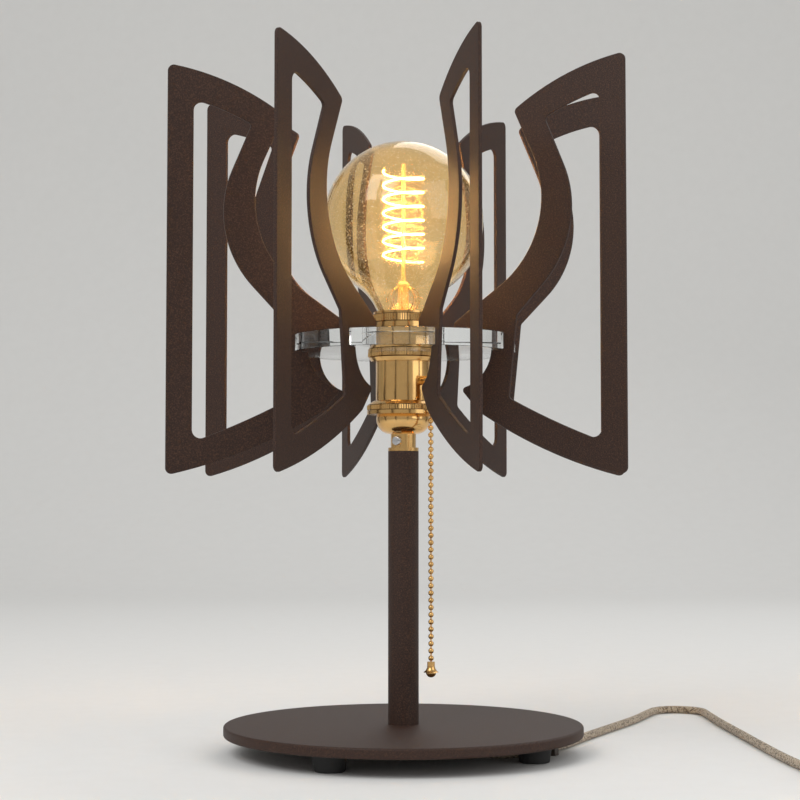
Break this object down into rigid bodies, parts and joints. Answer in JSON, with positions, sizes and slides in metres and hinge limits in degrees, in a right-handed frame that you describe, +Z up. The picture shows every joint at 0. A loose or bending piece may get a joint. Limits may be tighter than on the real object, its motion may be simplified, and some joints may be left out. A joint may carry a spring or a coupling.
{
  "type": "table lamp",
  "caption": "Free-standing table lamp: open flat fins clipped round a clear disc, a bare globe bulb in a pull-chain socket, a pole, a round base and a cord with a plug.",
  "frame": {"origin": "on the table under the centre of the base", "axes": "+Z up along the pole, fins stand on +X and +Y"},
  "size_m": [0.4317, 0.3599, 0.3972],
  "materials": {
    "brown_paint": "fine sand texture, matt",
    "rubber": "matt",
    "steel": "plain",
    "brass": "polished, slightly dulled",
    "liner_board": "matt",
    "switch_plastic": "satin",
    "clear_plastic": "clear, polished faces",
    "bulb_glass": "clear amber",
    "stem_glass": "clear",
    "filament": "glowing wire",
    "support_wire": "plain wire",
    "wire_insulation": "satin",
    "cord_jacket": "braided, beige with dark flecks",
    "plug_plastic": "satin"
  },
  "bodies": {
    "stand": {"base_disc": "brown_paint", "pole_tube": "brown_paint", "fin_1": "brown_paint", "fin_2": "brown_paint", "fin_3": "brown_paint", "fin_4": "brown_paint", "fin_5": "brown_paint", "fin_6": "brown_paint", "fin_7": "brown_paint", "fin_8": "brown_paint", "rubber_feet": "rubber", "foot_screws": "steel", "base_washer": "steel", "base_nut": "steel", "threaded_pipe": "steel", "pole_bush": "steel", "cap_set_screw": "steel", "lever_pin": "steel", "lever_spring": "steel", "clip_screw": "steel", "pole_plug": "brass", "socket_cap": "brass", "collar": "brass", "socket_shell": "brass", "lower_shade_ring": "brass", "upper_shade_ring": "brass", "bell_mouth": "brass", "screw_shell": "brass", "center_contact": "brass", "terminal_screws": "brass", "plug_blades": "brass", "insulating_liner": "liner_board", "switch_body": "switch_plastic", "clear_disc": "clear_plastic", "supply_wires": "wire_insulation", "base_lead": "cord_jacket", "free_cord": "cord_jacket", "cord_coil": "cord_jacket", "plug_body": "plug_plastic", "cord_clip": "plug_plastic", "coil_tie": "plug_plastic"},
    "bulb": {"bulb_glass": "bulb_glass", "bulb_cap": "brass", "bulb_insulator": "switch_plastic", "bulb_contact": "brass", "bulb_stem": "stem_glass", "filament": "filament", "filament_supports": "support_wire"},
    "chain_lead": {"chain_lead": "brass"},
    "hanging_chain": {"pull_chain": "brass", "chain_end": "brass"},
    "switch_lever": {"pull_lever": "steel"}
  },
  "joints": [
    {"name": "chain_pull", "type": "slide", "parent": "stand", "child": "chain_lead", "axis": [0, 0, -1], "range_m": [0, 0.009], "stiffness_N_per_m": 150, "springref_m": -0.006},
    {"name": "chain_swing", "type": "hinge", "parent": "chain_lead", "child": "hanging_chain", "pos_m": [0.01025, -0.02148, 0.2036], "axis": [-0.9026, -0.4305, 0], "range_deg": [-2.5, 50]},
    {"name": "lever_turn", "type": "hinge", "parent": "stand", "child": "switch_lever", "pos_m": [0.00151, -0.00316, 0.2125], "axis": [0.9026, 0.4305, 0], "range_deg": [0, 30]},
    {"name": "bulb_lift", "type": "slide", "parent": "stand", "child": "bulb", "axis": [0, 0, 1], "range_m": [0, 0.18]}
  ],
  "couplings": [
    {"joint": "lever_turn", "follows": "chain_pull", "rad_per_m": 58.1}
  ]
}
